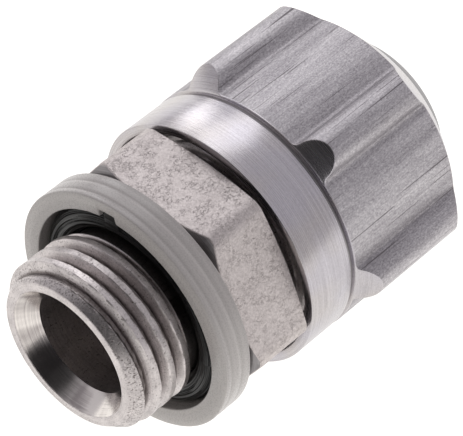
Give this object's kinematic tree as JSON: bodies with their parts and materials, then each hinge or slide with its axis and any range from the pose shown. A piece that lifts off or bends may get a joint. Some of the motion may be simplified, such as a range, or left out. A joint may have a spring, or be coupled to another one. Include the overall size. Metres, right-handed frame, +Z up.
{
  "type": "push-in fitting",
  "caption": "Straight push-in tube fitting with a sealed male thread, hexagon body, ribbed hand nut and a release ring at the tube end.",
  "frame": {"origin": "centre of the threaded mouth face, on the fitting's axis", "axes": "+X along the fitting's axis from the threaded mouth to the tube end; the fitting lies on its side with +Z up and a hexagon flat facing down"},
  "size_m": [0.0314, 0.022, 0.0194],
  "materials": {
    "body_metal": "nickel-plated, grainy satin",
    "ring_plastic": "pale grey moulded",
    "seal_rubber": "black, oiled",
    "washer_brass": "turned",
    "nut_aluminium": "drawn ribs with turned ends",
    "collet_brass": "turned",
    "release_metal": "turned, satin"
  },
  "bodies": {
    "body": {"body": "body_metal", "support_ring": "ring_plastic", "thread_seal": "seal_rubber", "tube_seal": "seal_rubber", "backup_washer": "washer_brass"},
    "collet": {"collet": "collet_brass"},
    "nut": {"nut": "nut_aluminium"},
    "release_ring": {"release_ring": "release_metal"}
  },
  "joints": [
    {"name": "nut_advance", "type": "slide", "parent": "body", "child": "collet", "axis": [1, 0, 0], "range_m": [0, 0.003]},
    {"name": "nut_turn", "type": "hinge", "parent": "collet", "child": "nut", "pos_m": [0.02, 0, 0], "axis": [1, 0, 0], "range_deg": [0, 720]},
    {"name": "release_push", "type": "slide", "parent": "collet", "child": "release_ring", "axis": [-1, 0, 0], "range_m": [0, 0.0012], "stiffness_N_per_m": 800}
  ],
  "couplings": [
    {"joint": "nut_turn", "follows": "nut_advance", "rad_per_m": 4188.8}
  ]
}
